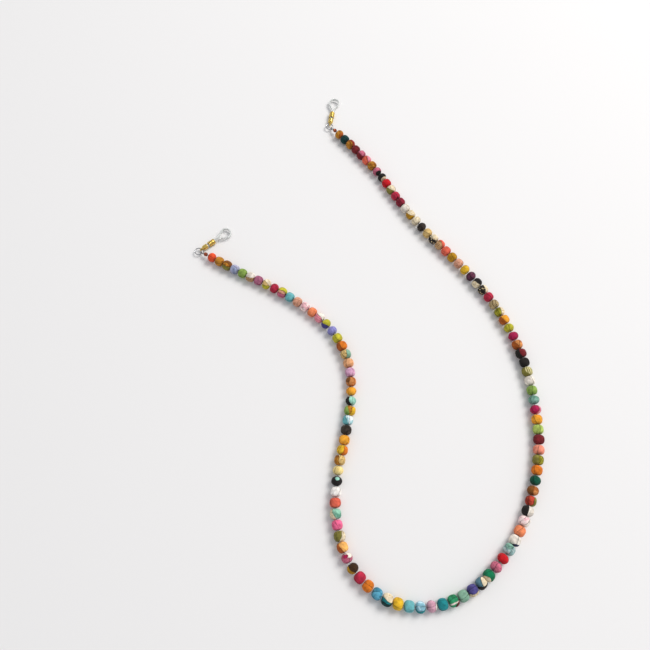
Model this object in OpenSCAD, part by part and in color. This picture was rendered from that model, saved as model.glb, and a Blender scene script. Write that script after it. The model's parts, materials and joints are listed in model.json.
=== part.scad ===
// Eyeglass retainer strap, lying in a U on a table.
// Wooden beads wrapped in cotton are strung on a thin beading wire. Each end of the wire
// is crimped into an eye, which carries a jump ring, a metal end cap and an adjustable
// silicone loop for one temple arm of the glasses.
// Lengths are in millimetres. +Z is up and the strap rests on z = 0.

/* [Beads] */
// Largest diameter of a wrapped bead
bead_d = 6.4; // [5.2:0.1:8]
// Length of a wrapped bead along the wire
bead_len = 5.7; // [4.7:0.1:6.9]
// Free gap between neighbouring beads
bead_gap = 0.3; // [0.25:0.01:0.4]
// Thickness of the glued cotton wrap
cloth_t = 0.35; // [0.25:0.01:0.45]
// Bore through the wooden bead
bead_bore_d = 1.6; // [1.3:0.1:2]

/* [Wire] */
// Diameter of the beading wire
wire_d = 0.6; // [0.4:0.05:0.8]

/* [Crimp] */
// Thickness of the crimp's wall at its waist
crimp_wall = 0.56; // [0.4:0.01:0.8]
// Length of the crimp
crimp_len = 2.2; // [1.8:0.1:3]
// Free wire between the last bead and the crimp
crimp_gap = 0.8; // [0.6:0.1:1.2]
// Distance from the crimp to the middle of the wire's eye
eyelet_reach = 2.6; // [2:0.1:4]

/* [Jump ring] */
// Outside diameter of the jump ring
ring_od = 5.5; // [5:0.1:7]
// Diameter of the jump ring's wire
ring_wire_d = 0.7; // [0.5:0.05:0.9]

/* [End cap] */
// Thinnest wall between the end cap's outside and its pocket
cap_wall = 0.31; // [0.2:0.01:0.6]
// Length of the end cap's barrel
cap_len = 3.2; // [2.6:0.1:4]
// Thickness of the end cap's flat tab
tab_t = 0.8; // [0.6:0.05:1]
// Width of metal round the tab's hole
tab_web = 0.5; // [0.4:0.05:0.6]

/* [Temple loop] */
// Inside radius of the eye that grips a temple arm
eye_r = 3.2; // [2.6:0.1:4]
// Width of the silicone band
band_w = 2; // [1.6:0.1:3]
// Thickness of the silicone band
band_t = 0.8; // [0.6:0.05:1]
// Distance from the neck of the loop to the centre of its eye
neck_len = 6; // [5.2:0.1:8]

/* [Coil slider] */
// Length of the coil slider
slider_len = 5; // [4:0.1:6.5]
// Diameter of the wire that the coil slider is wound from
slider_wire_d = 0.45; // [0.4:0.01:0.55]
// Free band between the end cap and the slider
slider_rest_gap = 1; // [0.9:0.1:2]
// Travel of the slider towards the eye
slider_travel = 3; // [2:0.1:5]

/* [Hidden] */
$fn = 48;

// Running clearances between metal parts, and the glue line under the cloth
clear = 0.2;
slip = 0.1;
glue_line = 0.02;

// The strand: groups of beads that move together, right end first
groups = 14;
beads_per_group = 8;
bead_count = groups * beads_per_group;
pitch = bead_len + bead_gap;
group_len = beads_per_group * pitch;
strand_len = bead_count * pitch;
bead_r = bead_d / 2;
bore_r = bead_bore_d / 2;
axis_z = bead_r;

// Route of the wire seen from above, from the outer end of the first bead at the right
// to the outer end of the last bead at the left
route = [
    [-11, 143], [5, 124], [19, 105], [31, 84], [44, 64], [59, 45], [74, 26], [87, 6],
    [97, -16], [103, -39], [105, -63], [104, -87], [98, -110], [88, -132], [73, -151],
    [54, -166], [31, -172], [9, -167], [-8, -150], [-15, -127], [-14, -103], [-9, -80],
    [-5, -56], [-7, -32], [-18, -11], [-36, 5], [-56, 18], [-77, 29], [-98, 41]
];
spans = len(route) - 1;
span_steps = 12;

// One point of the smooth curve through the route: span i, fraction t
function knot(i) = route[max(0, min(spans, i))];
function slope(i) = (knot(i + 1) - knot(i - 1)) / (i <= 0 || i >= spans ? 1 : 2);
function on_span(i, t) =
    (2 * t ^ 3 - 3 * t ^ 2 + 1) * knot(i) + (t ^ 3 - 2 * t ^ 2 + t) * slope(i)
    + (3 * t ^ 2 - 2 * t ^ 3) * knot(i + 1) + (t ^ 3 - t ^ 2) * slope(i + 1);

// The curve as short chords, with the distance run up to each of them
curve = concat([for (i = [0:spans - 1], k = [0:span_steps - 1]) on_span(i, k / span_steps)],
               [route[spans]]);
run = [for (i = 0, d = 0; i < len(curve);
            i = i + 1, d = i < len(curve) ? d + norm(curve[i] - curve[i - 1]) : d) d];
curve_len = run[len(run) - 1];

// The whole curve is scaled so that it is exactly as long as the strand
fit_k = strand_len / curve_len;
along_x = [for (i = [0:len(run) - 1]) [run[i] * fit_k, curve[i][0] * fit_k]];
along_y = [for (i = [0:len(run) - 1]) [run[i] * fit_k, curve[i][1] * fit_k]];
function on_curve(s) = [lookup(s, along_x), lookup(s, along_y)];
function heading(s) = let (d = on_curve(s + 0.5) - on_curve(s - 0.5)) atan2(d[1], d[0]);

// A point at distance s, straight on past either end of the strand
function held(s) = max(0, min(strand_len, s));
function at(s) =
    let (way = heading(held(s))) on_curve(held(s)) + (s - held(s)) * [cos(way), sin(way)];
function bead_s(i) = (i - 0.5) * pitch;

// The wire stops just short of each flex point, half way between two beads
wire_stop = 0.1;
wire_rings = 6;
wire_sides = 8;

// Shape of a bead: an oblate curve of revolution from one end of the bore to the other
bands = 10;
core_r = bead_r - cloth_t;
core_len = bead_len - 2 * cloth_t;
function bead_curve(r, half_len) =
    let (end = acos(bore_r / r))
    [for (i = [0:bands]) let (t = end * (2 * i / bands - 1)) [r * cos(t), half_len * sin(t)]];
function reversed(list) = [for (i = [len(list) - 1:-1:0]) list[i]];

// Fittings, measured outwards from the end of the strand. The ring, the cap and the
// loop lie lower than the beads: the slider or the cap, if it is fatter, rests on the table.
band_gap = 0.2;
band_y = (band_gap + band_t) / 2;
slider_bore_r = norm([band_gap / 2 + band_t, band_w / 2]) + slip;
slider_r = slider_bore_r + slider_wire_d;
pocket_fit = 0.03;
pocket_half_w = band_gap / 2 + band_t + pocket_fit;
pocket_half_h = band_w / 2 + pocket_fit;
cap_r = norm([pocket_half_w, pocket_half_h]) + cap_wall;
low_z = max(slider_r, cap_r);
wire_pair = wire_d / 2 + glue_line;
crimp_bore_r = wire_pair + wire_d / 2 + glue_line;
crimp_lip = 0.2;
crimp_mouth = crimp_gap + crimp_len;
grip_len = crimp_len / 2 - clear / 2;
eyelet_r = ring_wire_d / 2 + clear + wire_d / 2;
eyelet_x = crimp_mouth + eyelet_reach;
ring_r = (ring_od - ring_wire_d) / 2;
ring_x = eyelet_x + ring_r;

// The cap, loop and slider, measured from the centre of the jump ring
hole_r = ring_wire_d / 2 + 1.5 * clear;
tab_r = hole_r + tab_web;
cap_start = ring_r + tab_r + clear;
cap_end = cap_start + cap_len;
pocket_depth = 0.75 * cap_len;
slider_start = cap_end + slider_rest_gap;
neck_x = slider_start + slider_len + slider_travel + clear;
eye_x = neck_x + neck_len;
eye_out_r = eye_r + band_t;
eye_mid_r = eye_r + band_t / 2;
flare = asin(eye_mid_r / norm([neck_len, band_y])) - atan2(band_y, neck_len);
mitre = band_t / 2 * tan(flare / 2);

// Each end: the distance along the strand, the way it points, and the turn of the loop
RIGHT = 0;
LEFT = 1;
end_s = [0, strand_len];
end_turn = [-50, -112];
function end_heading(side) = heading(end_s[side]) + (side == RIGHT ? 180 : 0);

cotton = ["darkorange", "teal", "goldenrod", "crimson", "hotpink", "black", "tomato",
          "khaki", "beige", "mediumseagreen", "orchid", "turquoise", "saddlebrown"];

function two_digits(n) = str(n < 10 ? "0" : "", n);
group_names = [for (g = [1:groups], part = ["wire", "wood_beads", "cloth_wraps"])
               str(part, "_", two_digits(g))];
end_parts = ["end_bead_core", "end_bead_wrap", "crimp", "wire_eyelet", "jump_ring",
             "end_cap", "temple_loop", "coil_slider"];

// A round tube of flat sides along a list of points; side_way is square to every bend
module tube(path, diameter, sides, side_way) {
    last = len(path) - 1;
    rings = [for (i = [0:last])
        let (ahead = path[min(last, i + 1)] - path[max(0, i - 1)],
             dir = ahead / norm(ahead),
             other = cross(dir, side_way))
        for (k = [0:sides - 1])
            let (a = 360 * (k + 0.5) / sides)
            path[i] + diameter / 2 * (cos(a) * side_way + sin(a) * other)];
    walls = [for (i = [0:last - 1], k = [0:sides - 1])
        let (m = (k + 1) % sides)
        [i * sides + k, i * sides + m, (i + 1) * sides + m, (i + 1) * sides + k]];
    polyhedron(rings, concat(walls, [reversed([for (k = [0:sides - 1]) k]),
                                     [for (k = [0:sides - 1]) last * sides + k]]));
}

// Places its children on the wire at distance s, with their z axis along the wire
module on_wire(s) {
    p = at(s);
    translate([p[0], p[1], axis_z]) rotate([0, 90, heading(s)]) children();
}

module bead_core() {
    rotate_extrude() polygon(bead_curve(core_r - glue_line, core_len / 2 - glue_line));
}

module bead_wrap() {
    rotate_extrude()
        polygon(concat(bead_curve(bead_r, bead_len / 2),
                       reversed(bead_curve(core_r, core_len / 2))));
}

// The beads of a group, without the two end beads that turn by themselves
function group_beads(g) = [for (i = [(g - 1) * beads_per_group + 1:g * beads_per_group])
                           if (i > 1 && i < bead_count) i];

// Distances of a group's wire rings; it runs straight through the two end beads
function wire_stations(g) =
    let (from = g == 1 ? pitch : (g - 1) * group_len + wire_stop,
         to = g == groups ? strand_len - pitch : g * group_len - wire_stop,
         tail = crimp_gap + grip_len)
    concat(g == 1 ? [-tail, 0] : [],
           [for (k = [0:wire_rings - 1]) from + (to - from) * k / (wire_rings - 1)],
           g == groups ? [strand_len, strand_len + tail] : []);

module wire(g) {
    path = [for (s = wire_stations(g)) let (p = at(s)) [p[0], p[1], axis_z]];
    color("silver") tube(path, wire_d, wire_sides, [0, 0, 1]);
}

module wood_beads(g) {
    color("burlywood") for (i = group_beads(g)) on_wire(bead_s(i)) bead_core();
}

module cloth_wraps(g) {
    for (i = group_beads(g))
        color(cotton[i * 5 % len(cotton)]) on_wire(bead_s(i)) bead_wrap();
}

function end_bead(side) = side == RIGHT ? 1 : bead_count;

module end_bead_core(side) {
    color("burlywood") on_wire(bead_s(end_bead(side))) bead_core();
}

module end_bead_wrap(side) {
    color("darkorange") on_wire(bead_s(end_bead(side))) bead_wrap();
}

// Frame of an end: x points outwards along the wire from the end of the strand
module at_end(side) {
    p = at(end_s[side]);
    translate([p[0], p[1], 0]) rotate([0, 0, end_heading(side)]) children();
}

// Frame of a loop: x points from the centre of the jump ring towards the eye
module at_loop(side) {
    at_end(side) translate([ring_x, 0, low_z]) rotate([0, 0, end_turn[side]]) children();
}

module crimp(side) {
    waist = crimp_bore_r + crimp_wall;
    lip = crimp_bore_r + crimp_lip;
    color("sienna") at_end(side) translate([crimp_gap, 0, axis_z]) rotate([0, 90, 0])
        rotate_extrude()
            polygon([[crimp_bore_r, 0], [lip, 0], [waist, crimp_len / 4],
                     [waist, crimp_len * 3 / 4], [lip, crimp_len], [crimp_bore_r, crimp_len]]);
}

// Angle, seen from the eyelet's centre, of the tangent point on the side given by sign
function tangent_angle(p, sign) =
    let (v = p - [eyelet_x, low_z]) atan2(v[1], v[0]) - sign * acos(eyelet_r / norm(v));

// The end of the wire: out of the crimp, round the jump ring and back
module wire_eyelet(side) {
    top = [crimp_mouth + clear, axis_z + wire_pair];
    foot = [crimp_mouth + clear, axis_z - wire_pair];
    from = tangent_angle(top, 1);
    to = tangent_angle(foot, -1) - 360;
    turns = 12;
    round = [for (k = [0:turns]) let (a = from + (to - from) * k / turns)
             [eyelet_x + eyelet_r * cos(a), low_z + eyelet_r * sin(a)]];
    inside = [-grip_len - clear, 0];
    path = concat([top + inside, top], round, [foot, foot + inside]);
    color("silver") at_end(side)
        tube([for (p = path) [p[0], 0, p[1]]], wire_d, wire_sides, [0, 1, 0]);
}

module jump_ring(side) {
    color("silver") at_loop(side)
        rotate_extrude() translate([ring_r, 0]) circle(r = ring_wire_d / 2);
}

module end_cap(side) {
    color("goldenrod") at_loop(side) difference() {
        union() {
            translate([ring_r, 0, 0]) rotate([90, 0, 0])
                cylinder(r = tab_r, h = tab_t, center = true);
            translate([ring_r, -tab_t / 2, -tab_r])
                cube([cap_start - ring_r + cap_len / 8, tab_t, 2 * tab_r]);
            translate([cap_start, 0, 0]) rotate([0, 90, 0]) cylinder(r = cap_r, h = cap_len);
        }
        translate([ring_r, 0, 0]) rotate([90, 0, 0])
            cylinder(r = hole_r, h = 2 * tab_t, center = true);
        translate([cap_end - pocket_depth, -pocket_half_w, -pocket_half_h])
            cube([pocket_depth + 1, 2 * pocket_half_w, 2 * pocket_half_h]);
    }
}

// Half outlines of the loop's neck, offset outwards (1) or inwards (-1) from the band's
// middle line, from x = start to the tangent point on the eye
function neck_side(start, way) =
    let (r = eye_mid_r + way * band_t / 2, y = band_y + way * band_t / 2)
    [[start, y], [neck_x - way * mitre, y],
     [eye_x - r * sin(flare), r * cos(flare)]];
function mirrored(list) = [for (p = reversed(list)) [p[0], -p[1]]];

module temple_loop(side) {
    start = cap_end - pocket_depth + pocket_fit;
    outer = neck_side(start, 1);
    inner = neck_side(start - 1, -1);
    color("whitesmoke") at_loop(side) translate([0, 0, -band_w / 2]) difference() {
        union() {
            translate([eye_x, 0, 0]) cylinder(r = eye_out_r, h = band_w);
            linear_extrude(band_w) polygon(concat(outer, mirrored(outer)));
        }
        translate([eye_x, 0, -1]) cylinder(r = eye_r, h = band_w + 2);
        translate([0, 0, -1])
            linear_extrude(band_w + 2) polygon(concat(inner, mirrored(inner)));
    }
}

module coil_slider(side) {
    color("gold") at_loop(side) translate([slider_start, 0, 0]) rotate([0, 90, 0])
        difference() {
            cylinder(r = slider_r, h = slider_len);
            translate([0, 0, -1]) cylinder(r = slider_bore_r, h = slider_len + 2);
        }
}

for (g = [1:groups]) {
    wire(g);
    wood_beads(g);
    cloth_wraps(g);
}
for (side = [RIGHT, LEFT]) {
    name = side == RIGHT ? "right_" : "left_";
    end_bead_core(side);
    end_bead_wrap(side);
    crimp(side);
    wire_eyelet(side);
    jump_ring(side);
    end_cap(side);
    temple_loop(side);
    coil_slider(side);
}
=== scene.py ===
"""Eyeglass retainer strap: cotton-wrapped beads on a wire, with a silicone loop at each end.

Every length is in metres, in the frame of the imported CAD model. Distances along the strand start
at the outer end of the first bead at the right, and bead 1 is the first bead there.
"""

import json
import logging
import math
import random
from collections.abc import Callable, Sequence
from dataclasses import dataclass, field
from enum import Enum

import bmesh
import bpy
import numpy as np
from mathutils import Matrix, Vector

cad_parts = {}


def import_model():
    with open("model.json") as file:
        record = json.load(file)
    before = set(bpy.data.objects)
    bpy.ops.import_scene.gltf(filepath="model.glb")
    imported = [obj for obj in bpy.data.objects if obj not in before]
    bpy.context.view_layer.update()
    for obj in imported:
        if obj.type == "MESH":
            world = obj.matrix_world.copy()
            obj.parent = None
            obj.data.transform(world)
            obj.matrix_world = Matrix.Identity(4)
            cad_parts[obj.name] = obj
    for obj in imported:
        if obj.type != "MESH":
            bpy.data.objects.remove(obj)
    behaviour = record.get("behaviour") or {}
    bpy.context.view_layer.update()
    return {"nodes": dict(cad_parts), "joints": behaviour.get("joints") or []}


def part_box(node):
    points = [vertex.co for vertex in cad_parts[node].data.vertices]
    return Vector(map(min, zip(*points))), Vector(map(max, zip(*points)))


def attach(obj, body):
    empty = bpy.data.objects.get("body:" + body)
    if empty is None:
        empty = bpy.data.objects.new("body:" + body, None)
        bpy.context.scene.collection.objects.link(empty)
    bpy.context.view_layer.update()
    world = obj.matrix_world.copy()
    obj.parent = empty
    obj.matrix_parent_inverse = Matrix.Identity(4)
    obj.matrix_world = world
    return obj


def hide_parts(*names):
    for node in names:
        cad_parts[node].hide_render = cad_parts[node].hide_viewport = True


LOG = logging.getLogger("strap")
MM = 0.001
# A wave texture of scale 1 repeats after this length
WAVE_REPEAT = 0.314

# The strand, as the CAD source has it
BEADS = 112
BEADS_PER_GROUP = 8
GROUPS = BEADS // BEADS_PER_GROUP
PITCH = 6.0 * MM
GROUP_LENGTH = BEADS_PER_GROUP * PITCH
STRAND_LENGTH = BEADS * PITCH
WIRE_DIAMETER = 0.6 * MM

# Route of the wire seen from above, the right end first
ROUTE = (
    (-0.011, 0.143), (0.005, 0.124), (0.019, 0.105), (0.031, 0.084), (0.044, 0.064),
    (0.059, 0.045), (0.074, 0.026), (0.087, 0.006), (0.097, -0.016), (0.103, -0.039),
    (0.105, -0.063), (0.104, -0.087), (0.098, -0.110), (0.088, -0.132), (0.073, -0.151),
    (0.054, -0.166), (0.031, -0.172), (0.009, -0.167), (-0.008, -0.150), (-0.015, -0.127),
    (-0.014, -0.103), (-0.009, -0.080), (-0.005, -0.056), (-0.007, -0.032), (-0.018, -0.011),
    (-0.036, 0.005), (-0.056, 0.018), (-0.077, 0.029), (-0.098, 0.041),
)


# --------------------------------------------------------------------------- meshes


@dataclass
class Shell:
    """A closed surface before it becomes a piece: its points, faces, and what each carries.

    Fields:
        points: One row of x, y, z for each point.
        faces: The point numbers round each face.
        cloth: For each point, its place on the cloth in mm, the scrap's number, and how far
            the scrap's cut edge is in mm.
        slots: The material slot of each face.
    """

    points: np.ndarray
    faces: list[tuple[int, ...]]
    cloth: np.ndarray | None = None
    slots: list[int] = field(default_factory=list)

    def placed(self, place: Matrix) -> "Shell":
        """Returns the shell with its points moved by place."""
        turn = np.array(place.to_3x3())
        moved = self.points @ turn.T + np.array(place.translation)
        return Shell(moved, self.faces, self.cloth, self.slots)


def joined(shells: Sequence[Shell]) -> Shell:
    """Puts several shells into one, without merging points.

    Args:
        shells: The shells, which all have cloth places or all have none.

    Returns:
        One shell with every point and face.
    """
    starts = np.cumsum([0] + [len(s.points) for s in shells])
    faces = [tuple(int(start) + i for i in face)
             for start, shell in zip(starts, shells) for face in shell.faces]
    slots = [slot for shell in shells for slot in (shell.slots or [0] * len(shell.faces))]
    cloth = None if shells[0].cloth is None else np.concatenate([s.cloth for s in shells])
    return Shell(np.concatenate([s.points for s in shells]), faces, cloth, slots)


def grid_faces(columns: int, rows: int, round_columns: bool, round_rows: bool) -> list[tuple]:
    """Lists the quads of a grid whose points are numbered column by column.

    Args:
        columns: How many columns of points there are.
        rows: How many points each column has.
        round_columns: True if the last column meets the first.
        round_rows: True if the last row meets the first.

    Returns:
        Four point numbers for each quad.
    """
    faces = []
    for i in range(columns if round_columns else columns - 1):
        for j in range(rows if round_rows else rows - 1):
            k, m = (i + 1) % columns, (j + 1) % rows
            faces.append((i * rows + j, k * rows + j, k * rows + m, i * rows + m))
    return faces


def sweep(path: np.ndarray, section: np.ndarray, up: np.ndarray, twist: float = 0.0) -> Shell:
    """Draws a section along an open path and closes both ends.

    Args:
        path: The points of the path.
        section: The points of the section, across and up.
        up: The way that the section's up points, for the whole path or for each point.
        twist: How far the section turns for each metre of path, in radians.

    Returns:
        The swept solid's surface.
    """
    ahead = np.gradient(path, axis=0)
    ahead /= np.linalg.norm(ahead, axis=1)[:, None]
    side = np.cross(np.broadcast_to(up, path.shape), ahead)
    side /= np.linalg.norm(side, axis=1)[:, None]
    above = np.cross(ahead, side)
    run = np.concatenate([[0.0], np.cumsum(np.linalg.norm(np.diff(path, axis=0), axis=1))])
    angle = (run * twist)[:, None]
    across = section[:, 0] * np.cos(angle) - section[:, 1] * np.sin(angle)
    height = section[:, 0] * np.sin(angle) + section[:, 1] * np.cos(angle)
    points = (path[:, None] + across[..., None] * side[:, None]
              + height[..., None] * above[:, None])
    rows = len(section)
    last = (len(path) - 1) * rows
    faces = grid_faces(len(path), rows, False, True)
    faces += [tuple(range(rows)), tuple(last + i for i in range(rows))]
    return Shell(points.reshape(-1, 3), faces)


def lathe(profile: Sequence[tuple[float, float]], segments: int,
          squash: Callable[[float, float, float], float] | None = None) -> Shell:
    """Turns a closed outline round the x axis.

    Args:
        profile: The outline as pairs of x and radius, all round it.
        segments: How many columns of points go round.
        squash: Gives the radius from x, the turned radius and the angle; None keeps it round.

    Returns:
        The turned surface.
    """
    points = []
    for i in range(segments):
        angle = math.tau * i / segments
        for x, radius in profile:
            r = squash(x, radius, angle) if squash else radius
            points.append((x, r * math.sin(angle), r * math.cos(angle)))
    return Shell(np.array(points), grid_faces(segments, len(profile), True, True))


def round_section(radius: float, sides: int, lobes: int = 0, depth: float = 0.0) -> np.ndarray:
    """Gives the outline of a round wire, or of a cable with lobes.

    Args:
        radius: The greatest radius.
        sides: How many points the outline has.
        lobes: How many strands show round the cable.
        depth: How deep the valley between two strands is.

    Returns:
        The points across and up.
    """
    angle = np.arange(sides) * math.tau / sides
    r = radius - depth * (1 - np.abs(np.cos(angle * lobes / 2)))
    return np.stack([r * np.cos(angle), r * np.sin(angle)], axis=1)


def soft_box_section(width: float, height: float, corner: float, steps: int = 5) -> np.ndarray:
    """Gives a rectangle with round corners.

    Args:
        width: The size across.
        height: The size up.
        corner: The radius of each corner.
        steps: How many points each corner has.

    Returns:
        The points across and up.
    """
    points = []
    for quarter, (sx, sy) in enumerate(((1, 1), (-1, 1), (-1, -1), (1, -1))):
        for k in range(steps):
            angle = (quarter + k / (steps - 1)) * math.pi / 2
            points.append((sx * (width / 2 - corner) + corner * math.cos(angle),
                           sy * (height / 2 - corner) + corner * math.sin(angle)))
    return np.array(points)


def make_piece(name: str, shell: Shell, materials: Sequence[bpy.types.Material], body: str,
               nodes: Sequence[str], sharp_deg: float = 40.0) -> bpy.types.Object:
    """Makes a shell into a piece that rides on a body and stands for CAD nodes.

    Args:
        name: The piece's name.
        shell: Its surface.
        materials: Its materials, in the order of the shell's slots.
        body: The CAD body that it rides on.
        nodes: The CAD nodes that it stands for.
        sharp_deg: The angle between faces from which an edge stays sharp.

    Returns:
        The new object.
    """
    mesh = bpy.data.meshes.new(name)
    mesh.from_pydata(shell.points.tolist(), [], shell.faces)
    for material in materials:
        mesh.materials.append(material)
    if shell.slots:
        mesh.polygons.foreach_set("material_index", shell.slots)
    if shell.cloth is not None:
        places = mesh.attributes.new("cloth", "FLOAT_VECTOR", "POINT")
        places.data.foreach_set("vector", shell.cloth[:, :3].astype(np.float32).ravel())
        hems = mesh.attributes.new("hem", "FLOAT", "POINT")
        hems.data.foreach_set("value", shell.cloth[:, 3].astype(np.float32))
    work = bmesh.new()
    work.from_mesh(mesh)
    bmesh.ops.recalc_face_normals(work, faces=work.faces)
    work.to_mesh(mesh)
    work.free()
    mesh.polygons.foreach_set("use_smooth", [True] * len(mesh.polygons))
    mesh.set_sharp_from_angle(angle=math.radians(sharp_deg))
    made = bpy.data.objects.new(name, mesh)
    bpy.context.scene.collection.objects.link(made)
    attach(made, body)
    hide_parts(*nodes)
    return made


# --------------------------------------------------------------------------- materials


def linear(colour: str) -> tuple[float, float, float, float]:
    """Turns an sRGB hex colour into linear red, green, blue and alpha."""
    parts = [int(colour[i:i + 2], 16) / 255 for i in (1, 3, 5)]
    return (*[c / 12.92 if c <= 0.04045 else ((c + 0.055) / 1.055) ** 2.4 for c in parts], 1.0)


def add(tree: bpy.types.NodeTree, kind: str, inputs: dict | None = None,
        **settings) -> bpy.types.Node:
    """Adds one shader node with its settings, values and links.

    Args:
        tree: The material's node tree.
        kind: The node's type, without its usual prefix.
        inputs: For each socket, by name or number, its value or the output linked to it.
        **settings: The node's own settings.

    Returns:
        The new node.
    """
    made = tree.nodes.new("ShaderNode" + kind)
    for name, value in settings.items():
        setattr(made, name, value)
    for socket, value in (inputs or {}).items():
        if isinstance(value, bpy.types.NodeSocket):
            tree.links.new(value, made.inputs[socket])
        else:
            made.inputs[socket].default_value = value
    return made


def new_material(name: str) -> tuple[bpy.types.Material, bpy.types.NodeTree]:
    """Makes an empty node material and returns it with its tree."""
    material = bpy.data.materials.new(name)
    material.use_nodes = True
    material.node_tree.nodes.clear()
    return material, material.node_tree


def finished(tree: bpy.types.NodeTree, sockets: dict) -> None:
    """Adds the surface shader with its sockets and the output to a material's tree."""
    shader = add(tree, "BsdfPrincipled", sockets)
    add(tree, "OutputMaterial", {"Surface": shader.outputs[0]})


class Print(Enum):
    """How a cotton was coloured: the values of its pattern where the ink starts and is full."""

    # Dyed in the piece, so the ink is only a slow unevenness
    PLAIN = (0.45, 0.85)
    # Small printed dots
    DOTS = (0.36, 0.26)
    # Printed rings with a dot in each
    SPRIGS = (0.1, 0.5)
    # Woven stripes
    STRIPES = (0.48, 0.6)
    # Blotches that wax has left, with sharp edges
    BATIK = (0.5, 0.56)


@dataclass(frozen=True)
class Cloth:
    """Worn cotton cambric: plain weave, dyed or printed, matte, with a soft grazing bloom.

    Fields:
        ground: The colour of the cloth.
        ink: The colour of the print, or of the dye where it lies deeper.
        pattern: How it was coloured.
    """

    ground: str
    ink: str
    pattern: Print = Print.PLAIN

    # Cambric has about 30 threads to the cm; drawn a little coarser, so that the weave shows
    thread_mm = 0.37
    print_mm = 1.5
    stripe_mm = 1.3
    # Radians of the printed rings across one motif
    ring_turn = 10.0
    wear_mm = 2.2
    # Painted shade darkens the valleys between threads, and worn places go from deep to faded
    painted_thread_shade = (0.84, 1.03)
    wear_shade = (0.72, 1.42)
    # Painted shade darkens each cut edge as in its crease, and noise makes the dark band uneven
    edge_shade_mm = 0.3
    edge_shade_darkest = 0.3
    edge_wobble_mm = 0.5
    gather_mm = 1.1
    # The gathers stand out this many times as far as the threads
    gather_depth = 9.0
    relief_mm = 0.06

    def mask(self, tree: bpy.types.NodeTree, place: bpy.types.NodeSocket) -> bpy.types.NodeSocket:
        """Gives the share of ink at each place.

        Args:
            tree: The material's node tree.
            place: The place on the cloth, in mm.

        Returns:
            The output that is 1 where the ink is.
        """
        if self.pattern in (Print.DOTS, Print.SPRIGS):
            cell = add(tree, "TexVoronoi", {"Vector": place, "Scale": 1 / self.print_mm,
                                            "Randomness": 0.75})
            value = cell.outputs["Distance"]
            if self.pattern is Print.SPRIGS:
                ring = add(tree, "Math", {0: value, 1: self.ring_turn}, operation="MULTIPLY")
                value = add(tree, "Math", {0: ring.outputs[0]}, operation="SINE").outputs[0]
        elif self.pattern is Print.STRIPES:
            band = add(tree, "TexWave", {"Vector": place, "Scale": WAVE_REPEAT / self.stripe_mm,
                                         "Distortion": 0.4}, bands_direction="X")
            value = band.outputs["Fac"]
        else:
            blot = add(tree, "TexNoise", {"Vector": place, "Scale": 0.45 / self.print_mm,
                                          "Detail": 3.0, "Roughness": 0.45})
            value = blot.outputs["Fac"]
        low, high = self.pattern.value
        share = add(tree, "MapRange", {"Value": value, "From Min": low, "From Max": high})
        return share.outputs[0]

    def material(self, name: str) -> bpy.types.Material:
        """Makes the cotton's material.

        Args:
            name: The material's name.

        Returns:
            The material.
        """
        made, tree = new_material(name)
        cloth = add(tree, "Attribute", attribute_name="cloth")
        place = cloth.outputs["Vector"]
        warp, weft = (add(tree, "TexWave", {"Vector": place, "Scale": WAVE_REPEAT / self.thread_mm,
                                            "Distortion": 0.8, "Detail Scale": 0.4},
                          bands_direction=way).outputs["Fac"] for way in "XY")
        threads = add(tree, "Math", {0: warp, 1: weft}, operation="MAXIMUM").outputs[0]
        wear = add(tree, "TexNoise", {"Vector": place, "Scale": 1 / self.wear_mm,
                                      "Detail": 5.0, "Roughness": 0.6}).outputs["Fac"]
        printed = add(tree, "Mix", {0: self.mask(tree, place), 6: linear(self.ground),
                                    7: linear(self.ink)}, data_type="RGBA")
        # Painted shade in the valleys between the threads, with a faint painted highlight on their
        # crowns
        valley = add(tree, "MapRange", {"Value": threads, "From Min": 0.2, "From Max": 1.0,
                                        "To Min": self.painted_thread_shade[0],
                                        "To Max": self.painted_thread_shade[1]}).outputs[0]
        faded = add(tree, "MapRange", {"Value": wear, "From Min": 0.32, "From Max": 0.68,
                                       "To Min": self.wear_shade[0],
                                       "To Max": self.wear_shade[1]}).outputs[0]
        # Painted shade along each cut edge of a strip or scrap, darkest at the edge itself
        hem = add(tree, "Attribute", attribute_name="hem").outputs["Fac"]
        wobbled_hem = add(tree, "Math", {0: wear, 1: self.edge_wobble_mm, 2: hem}, operation="MULTIPLY_ADD")
        edge_shade = add(tree, "MapRange", {"Value": wobbled_hem.outputs[0], "From Min": 0.4 * self.edge_wobble_mm,
                                      "From Max": self.edge_shade_mm + 0.5 * self.edge_wobble_mm,
                                      "To Min": self.edge_shade_darkest, "To Max": 1.0}).outputs[0]
        # Painted thread shade times the wear; the painted edge shade comes on top
        worn = add(tree, "Math", {0: valley, 1: faded}, operation="MULTIPLY").outputs[0]
        shade = add(tree, "Math", {0: worn, 1: edge_shade}, operation="MULTIPLY").outputs[0]
        colour = add(tree, "HueSaturation", {"Color": printed.outputs[2], "Value": shade})
        # Gathers run from hole to hole, so they are long along the bead and narrow across it
        squeeze = (1 / self.gather_mm, 0.2 / self.gather_mm, 1)
        drawn = add(tree, "VectorMath", {0: place, 1: squeeze}, operation="MULTIPLY").outputs[0]
        gathers = add(tree, "TexNoise", {"Vector": drawn, "Scale": 1.0, "Detail": 2.0,
                                         "Roughness": 0.4, "Distortion": 0.4}).outputs["Fac"]
        cloth_relief = add(tree, "Math", {0: threads, 1: wear}, operation="ADD").outputs[0]
        relief = add(tree, "Math", {0: gathers, 1: self.gather_depth, 2: cloth_relief},
                     operation="MULTIPLY_ADD").outputs[0]
        bump = add(tree, "Bump", {"Height": relief, "Strength": 0.6,
                                  "Distance": self.relief_mm * MM})
        finished(tree, {"Base Color": colour.outputs[0], "Roughness": 0.88, "IOR": 1.5,
                        "Specular IOR Level": 0.2, "Sheen Weight": 0.07, "Sheen Roughness": 0.5,
                        "Normal": bump.outputs[0]})
        return made


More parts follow.
